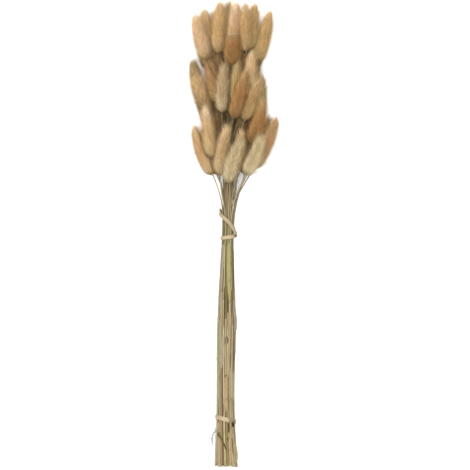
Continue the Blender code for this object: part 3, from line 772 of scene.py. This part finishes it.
for name, (source, fur, shown, number) in bare.items():
    add_tree(source, closeness, {"Crowd": crowd})
    for layer, numbers in enumerate((UNDERCOAT, OUTER_COAT, AWNS)):
        values = dict(zip(COAT_INPUTS, numbers))
        if not shown:
            values["Hairs per square mm"] *= HIDDEN_THIN
        values |= {"Shade": CREVICE_SHADE[name.split("_")[0]], "Seed": 10 * number + layer, "Fur": fur}
        add_tree(source, coat, values)
    piece = finished(source, f"grass_{name}")
    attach(piece, "root")
    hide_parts(f"stalk_{name}")
bpy.data.objects.remove(crowd)


# The bands
# Two flat straw-coloured rubber bands. One is wound twice round the waist of the bunch, the other once
# round the stems above their cut ends. Each is the frame's own ring with its edges rounded.
BAND_EDGE = 0.28 * MM


def band_material(name, pale, dull, axis, dull_from, dull_to):
    """Old straw-coloured rubber: matt, with duller patches, and duller towards one side (places in mm)."""
    made, tree, shader = shader_of(name, 0.62)
    at = grow(tree, "ShaderNodeTexCoord", {})["Object"]
    patchy = span(tree, noise(tree, at, 260.0, 3.0)[0], (0.4, 0.68), (0.0, 0.4))
    aside = span(tree, parts(tree, at)[axis], (dull_from * MM, dull_to * MM))
    colour = mix(tree, sums(tree, "MAXIMUM", patchy, aside), pale, dull)
    tree.links.new(colour, shader.inputs["Base Color"])
    grain = noise(tree, at, 1400.0, 2.0)[0]
    bump = grow(tree, "ShaderNodeBump", {
        "Strength": 0.25, "Distance": 0.2 * MM, "Height": grain})["Normal"]
    tree.links.new(bump, shader.inputs["Normal"])
    return made


def rounded_copy(node, name):
    """A copy of a band's solid with its doubles merged, its quads back, and its edges rounded."""
    solid = bmesh.new()
    solid.from_mesh(frame["nodes"][node].data)
    bmesh.ops.remove_doubles(solid, verts=solid.verts, dist=SAME_PLACE)
    bmesh.ops.join_triangles(
        solid, faces=solid.faces, angle_face_threshold=math.radians(50),
        angle_shape_threshold=math.radians(60))
    mesh = bpy.data.meshes.new(name)
    solid.to_mesh(mesh)
    solid.free()
    obj = placed(name, mesh)
    bevel = obj.modifiers.new("rounded edges", "BEVEL")
    bevel.width = BAND_EDGE
    bevel.segments = 1
    bevel.angle_limit = math.radians(50)
    smooth = obj.modifiers.new("smooth", "SUBSURF")
    smooth.levels = smooth.render_levels = 1
    made = finished(obj, f"{name}_ring")
    made.data.shade_smooth()
    return made


RUBBERS = {
    "upper_band": band_material("upper rubber", (0.29, 0.23, 0.148), (0.25, 0.195, 0.115), "Y", -1.0, 3.0),
    "lower_band": band_material("lower rubber", (0.3, 0.235, 0.15), (0.18, 0.135, 0.075), "X", -5.4, -4.4),
}
for node, rubber in RUBBERS.items():
    band = rounded_copy(node, node)
    band.data.materials.clear()
    band.data.materials.append(rubber)
    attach(band, "root")
    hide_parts(node)


# The loose sheaths and blades
# Papery leaf sheaths that have come loose from the straws, a few dark dry blades, dark strips of painted
# shade in three grooves between the stems, a grey curl beside the cut ends, and one bright awn on the upper
# heads.
# Each is a thin closed ribbon that lies on what is beneath it.

# The place under the picture's middle, half the picture's width in pixels, and the size of a pixel
PICTURE_MIDDLE = (1.286 * MM, -0.165 * MM)
PICTURE_HALF = 235
PIXEL = 0.966 * MM
# The dark kind serves both the dry blades and the painted shade of the grooves
SHEATHS = {
    "mauve": (0.2, 0.16, 0.11), "green_grey": (0.184, 0.175, 0.103), "olive": (0.198, 0.175, 0.069),
    "yellow_green": (0.267, 0.239, 0.101), "tan": (0.213, 0.163, 0.083), "pale": (0.225, 0.175, 0.081),
    "dark": (0.078, 0.049, 0.018), "brown": (0.12, 0.072, 0.033), "grey": (0.23, 0.24, 0.23),
    "bright": (0.37, 0.3, 0.21),
}
# Each: its kind, its width and lift in mm, and the pixels of the picture that it passes
LOOSE = {
    "left_sheath": ("mauve", 3.0, 0.0, ((223.4, 244), (222.4, 262), (220.6, 292), (219.3, 319))),
    "middle_sheath": ("olive", 4.4, 0.0, ((228.7, 243), (228.9, 262), (229.0, 285), (229.5, 303))),
    "right_blade": ("dark", 1.1, 0.0, ((232.9, 248), (233.3, 268), (233.7, 289))),
    # Three grooves where the stems part, laid as dark strips: painted shade
    "groove_1": ("dark", 1.1, 0.0, ((224.6, 286), (224.2, 305), (223.7, 329))),
    "groove_2": ("dark", 1.5, 0.0, ((226.8, 286), (227.5, 300), (227.8, 313))),
    "groove_3": ("dark", 0.9, 0.1, ((231.6, 290), (231.8, 305), (231.4, 318))),
    "short_sheath": ("tan", 2.6, 0.1, ((228.8, 314), (228.9, 320), (229.0, 331))),
    "right_flare": ("mauve", 2.6, 0.0, ((234.2, 300), (234.6, 311), (235.7, 321), (235.2, 334))),
    "low_left_sheath": ("green_grey", 3.2, 0.0, ((219.3, 320), (219.1, 350), (219.2, 385), (218.9, 412))),
    "mauve_strip": ("mauve", 2.1, 0.1, ((222.6, 335), (222.4, 350), (222.2, 366))),
    "curled_mouth": (
        "dark", 0.9, 0.1, ((225.5, 345), (225.3, 339), (226.5, 336.5), (227.7, 338.5), (227.5, 344))),
    "light_thread": ("pale", 0.9, 0.2, ((228.9, 336), (229.0, 355), (228.8, 376))),
    "dark_thread": ("dark", 0.8, 0.1, ((230.9, 326), (230.6, 350), (230.0, 371))),
    "low_sheath": ("tan", 5.0, 0.0, ((226.5, 377), (226.2, 395), (226.4, 413))),
    "low_right_blade": ("dark", 1.1, 0.0, ((233.2, 340), (233.4, 356), (233.3, 374))),
    "sliver_1": ("brown", 1.0, 0.2, ((223.0, 403), (223.3, 410), (223.2, 416))),
    "sliver_2": ("dark", 1.4, 0.2, ((228.5, 424), (228.5, 429), (228.3, 433.5))),
    "sliver_3": ("brown", 1.0, 0.1, ((231.9, 438), (232.4, 446), (233.0, 455))),
    "sliver_4": ("dark", 1.2, 0.2, ((227.6, 437.5), (227.6, 441.5))),
    "leaf": ("tan", 3.9, 0.0, ((218.7, 423), (218.8, 428), (219.2, 434))),
    "yellow_blade": ("yellow_green", 2.2, 0.1, ((224.2, 431.5), (224.4, 440), (225.0, 452), (224.9, 466))),
    "diagonal": ("dark", 1.7, 0.5, ((218.4, 434), (221.5, 440), (224.2, 445), (226.2, 451))),
    "mauve_butt": ("mauve", 2.4, 0.0, ((217.4, 438), (216.9, 452), (216.6, 465))),
    "right_leaf": ("tan", 2.8, 0.1, ((233.8, 441), (235.4, 448), (236.5, 457), (235.6, 465))),
    "right_tan": ("tan", 2.4, 0.0, ((230.9, 426), (230.6, 445), (231.4, 464))),
    "grey_curl": (
        "grey", 2.0, 0.0, ((216.8, 426), (215.2, 431.5), (213.0, 434.5), (211.9, 440), (212.6, 446))),
    "white_scrap": ("bright", 1.0, 0.0, ((232.7, 199.5), (233.1, 205), (233.7, 210))),
    "bright_awn": ("bright", 0.8, 1.2, ((228.7, 36.8), (232.3, 35.3), (236.2, 35.0), (239.3, 35.9))),
}
# What lies above this row of the picture lies on the fur of the heads, and all the rest on the bare straws
FUR_ABOVE = 100
RIBBON_THICK = 0.1
RIBBON_STEP = 1.6
RIBBON_TAPER_AT = (0.0, 0.06, 0.3, 0.85, 1.0)
RIBBON_TAPER = (0.45, 0.85, 1.0, 0.9, 0.3)
# Places across a ribbon at which it is laid on its bed. Its mesh has every second one.
RIBBON_ACROSS = 9
# In mm: how far a ribbon stays off its bed, how far its edges are turned down, and how far it hangs beside
RIBBON_OFF = 0.05
EDGE_TURNED = 0.25
BESIDE_DROP = 0.3
END_MAP = 0.015


def sheath_material(name, colour):
    """A thin dry sheath: dull, with fine streaks lengthwise and a few blotches."""
    made, tree, shader = shader_of(name, 0.7)
    toned = times(tree, colour, map_noise(tree, 14.0, 2.0, 2.0, 0.78, 1.18))
    blotch = clamped(tree, map_noise(tree, 4.0, 9.0, 2.0, -0.9, 0.7))
    tree.links.new(mix(tree, blotch, toned, dimmed(colour, 0.5)), shader.inputs["Base Color"])
    return made


def at_pixel(x, y):
    """The place on the table under a pixel of the picture."""
    return PICTURE_MIDDLE[0] + (x - PICTURE_HALF) * PIXEL, PICTURE_MIDDLE[1] + (PICTURE_HALF - y) * PIXEL


def top_of(bed, x, y):
    """The height of what a piece is laid on at a place, or nothing beside it."""
    hit = bed.ray_cast(Vector((x, y, 1.0)), Vector((0.0, 0.0, -1.0)))[0]
    return np.nan if hit is None else hit.z


def tube_faces(rows, sides, heights):
    """The faces between rows of a tube's corners, and their corners on the map between given heights."""
    faces, maps = [], []
    for i in range(rows - 1):
        for k in range(sides):
            n = (k + 1) % sides
            faces.append((i * sides + k, i * sides + n, (i + 1) * sides + n, (i + 1) * sides + k))
            left, right, low, high = k / sides, (k + 1) / sides, heights[i], heights[i + 1]
            maps += [(left, low), (right, low), (right, high), (left, high)]
    return faces, maps


def loose_piece(name, points, faces, maps, material):
    """A closed loose piece from its corners, its faces and their corners on the map."""
    mesh = bpy.data.meshes.new(name)
    mesh.from_pydata(points, [], faces)
    mesh.uv_layers.new(name="OFBake").data.foreach_set("uv", np.array(maps, dtype=np.float32).ravel())
    solid = bmesh.new()
    solid.from_mesh(mesh)
    bmesh.ops.recalc_face_normals(solid, faces=solid.faces)
    solid.to_mesh(mesh)
    solid.free()
    mesh.materials.append(material)
    mesh.shade_smooth()
    made = placed(name, mesh)
    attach(made, "root")


def laid_on(bed, places, share):
    """Heights at rows of places on a bed. They pass over what is highest around, and hang a little beside."""
    tops = np.array([[top_of(bed, x, y) for x, y in row] for row in places])
    rows = np.max(np.where(np.isnan(tops), -1.0, tops), axis=1)
    rows = np.interp(share, share[rows > 0], rows[rows > 0])
    tops = np.where(np.isnan(tops), rows[:, None] - BESIDE_DROP * MM, tops)
    padded = np.pad(tops, 1, mode="edge")
    count, across = tops.shape
    highest = np.max([padded[i:i + count, j:j + across] for i in range(3) for j in range(3)], axis=0)
    padded = np.pad(highest, ((2, 2), (0, 0)), mode="edge")
    return np.mean([padded[i:i + count] for i in range(5)], axis=0)


def ribbon(name, width, lift, pixels, material, bed):
    """A closed thin ribbon through places of the picture, laid on the bare stalks or on their fur."""
    track = np.array([at_pixel(x, y) for x, y in pixels])
    length = line_length(track)
    count = max(8, int(length / (RIBBON_STEP * MM)))
    share = np.linspace(0.0, 1.0, count)
    path = smooth_line(track, share * length)
    along = np.gradient(path, axis=0)
    along /= np.linalg.norm(along, axis=1)[:, None]
    aside = np.stack([-along[:, 1], along[:, 0]], axis=1)
    half = width * MM / 2 * np.interp(share, RIBBON_TAPER_AT, RIBBON_TAPER)
    across = np.linspace(-1.0, 1.0, RIBBON_ACROSS)
    places = path[:, None, :] + aside[:, None, :] * (half[:, None] * across[None, :])[:, :, None]
    cover = laid_on(bed, places, share) + (RIBBON_OFF + lift) * MM
    cover[:, (0, -1)] -= EDGE_TURNED * MM
    ring = []
    every_second = range(0, RIBBON_ACROSS, 2)
    for level, order in ((RIBBON_THICK * MM, every_second), (0.0, reversed(every_second))):
        ring += [np.column_stack([places[:, j], cover[:, j] + level]) for j in order]
    ring = np.stack(ring, axis=1)
    sides = ring.shape[1]
    faces, maps = tube_faces(count, sides, 0.02 + 0.96 * share)
    last = (count - 1) * sides
    for k in range(sides // 2 - 1):
        m = sides - 1 - k
        left, right = (k + 0.2) / sides, (k + 0.8) / sides
        faces.append((k, m, m - 1, k + 1))
        maps += [(left, 0.0), (left, END_MAP), (right, END_MAP), (right, 0.0)]
        faces.append((last + k, last + k + 1, last + m - 1, last + m))
        maps += [(left, 1 - END_MAP), (right, 1 - END_MAP), (right, 1.0), (left, 1.0)]
    loose_piece(name, ring.reshape(-1, 3).tolist(), faces, maps, material)


sheaths = {kind: sheath_material(f"{kind} sheath", colour) for kind, colour in SHEATHS.items()}
whole = joined(obj for obj in bpy.context.scene.objects if obj.name.startswith(("grass_top_", "grass_mid_")))
fur_tops = BVHTree.FromBMesh(whole)
whole.free()
for name, (kind, width, lift, pixels) in LOOSE.items():
    bed = fur_tops if pixels[0][1] < FUR_ABOVE else stalk_tops
    ribbon(f"loose_{name}", width, lift, pixels, sheaths[kind], bed)


# The hollow straw ends
# A broken straw's hollow end among the upper heads, and the dark hollow of a straw beside the lower band.
# The dark inside of each is painted shade, and the dark hollow is painted near black outside too, as shade.
# Each is a short tube that stands on the stalks beneath it, a little flattened, with its open end up.
HOLLOW_SIDES = 12
FOOT_SUNK = 0.3
LOOK_ROUND = 1.5
RIM_RISE = 0.1
RIM_FALL = 0.05


def hollow_end(name, pixel, radius, hole, lift, stretch, bed, material):
    """A short hollow straw end on the stalks beneath it, which reaches out of a bed on them. Sizes in mm."""
    x, y = at_pixel(*pixel)
    foot = top_of(stalk_tops, x, y) - FOOT_SUNK * MM
    steps = [step * LOOK_ROUND * MM for step in (-1, 0, 1)]
    height = (np.nanmax([top_of(bed, x + i, y + j) for i in steps for j in steps]) - foot) / MM + lift
    # The foot, the rim's outside, top and inside, and the floor of the hollow
    rings = (
        (0.0, radius * 0.9), (height, radius), (height + RIM_RISE, (radius + hole) / 2),
        (height - RIM_FALL, hole), (height * 0.35, hole * 0.85),
    )
    turns = [2 * math.pi * k / HOLLOW_SIDES for k in range(HOLLOW_SIDES)]
    points = [
        (x + size * MM * math.cos(turn), y + size * stretch * MM * math.sin(turn), foot + level * MM)
        for level, size in rings for turn in turns
    ]
    faces, maps = tube_faces(len(rings), HOLLOW_SIDES, [0.02 + 0.24 * i for i in range(len(rings))])
    for first, order, map_height in ((0, -1, 0.01), ((len(rings) - 1) * HOLLOW_SIDES, 1, 0.99)):
        faces.append([first + k for k in range(HOLLOW_SIDES)][::order])
        maps += [(0.5 + 0.4 * math.cos(turn * order), map_height + 0.009 * math.sin(turn * order))
                 for turn in turns]
    loose_piece(name, points, faces, maps, material)


def hollow_material(name, outside, inside):
    """A straw's end: straw coloured outside, and dark inside as painted shade in its hollow."""
    made, tree, shader = shader_of(name, 0.8)
    depth = span(tree, parts(tree, own_map(tree))["Y"], (0.6, 0.72))
    tree.links.new(mix(tree, depth, outside, inside), shader.inputs["Base Color"])
    return made


hollow_end(
    "loose_straw_end", pixel=(244.5, 53), radius=2.1, hole=1.4, lift=0.7, stretch=1.2, bed=fur_tops,
    material=hollow_material("straw end", (0.14, 0.092, 0.048), (0.06, 0.036, 0.017)))
# Near black outside and in: painted shade of a hollow beside the lower band
hollow_end(
    "loose_dark_hollow", pixel=(233.1, 424.6), radius=1.0, hole=0.84, lift=2.0, stretch=2.9, bed=stalk_tops,
    material=hollow_material("dark hollow", (0.05, 0.03, 0.014), (0.015, 0.01, 0.006)))


# The table, the light and the camera
# A plain white table, a wide soft light straight above, and a camera that looks straight down from high
# up with a long lens, as the picture does on the bunch.
TABLE_REACH = 4.0
CAMERA_HEIGHT = 5.0
FOCUS_HEIGHT = 0.03
DAYLIGHT = 0.42

corners = [(x * TABLE_REACH, y * TABLE_REACH, 0.0) for x, y in ((-1, -1), (1, -1), (1, 1), (-1, 1))]
table_mesh = bpy.data.meshes.new("table")
table_mesh.from_pydata(corners, [], [(0, 1, 2, 3)])
table = placed("table", table_mesh)
table_finish, _, table_shader = shader_of("table_white", 0.9)
table_shader.inputs["Base Color"].default_value = (0.9, 0.9, 0.9, 1.0)
table_mesh.materials.append(table_finish)
table.location.z = -TABLE_CLEARANCE


def softbox(name, place, size, power):
    """A square soft light at a place, which looks at the origin."""
    light = bpy.data.lights.new(name, "AREA")
    light.shape = "SQUARE"
    light.size = size
    light.energy = power
    obj = placed(name, light)
    obj.location = place
    obj.rotation_euler = (-Vector(place)).to_track_quat("-Z", "Y").to_euler()


softbox("overhead", place=(-0.12, 0.2, 2.2), size=1.6, power=116.0)
world = bpy.data.worlds.new("studio")
world.use_nodes = True
background = world.node_tree.nodes["Background"].inputs
background["Color"].default_value = (1.0, 1.0, 1.0, 1.0)
background["Strength"].default_value = DAYLIGHT
bpy.context.scene.world = world
bpy.context.scene.view_settings.view_transform = "Standard"

camera_data = bpy.data.cameras.new("camera")
camera_data.sensor_width = 36.0
camera_data.lens = camera_data.sensor_width * (CAMERA_HEIGHT - FOCUS_HEIGHT) / (2 * PICTURE_HALF * PIXEL)
camera_data.clip_end = 20.0
camera = placed("camera", camera_data)
camera.location = (*PICTURE_MIDDLE, CAMERA_HEIGHT)
bpy.context.scene.camera = camera
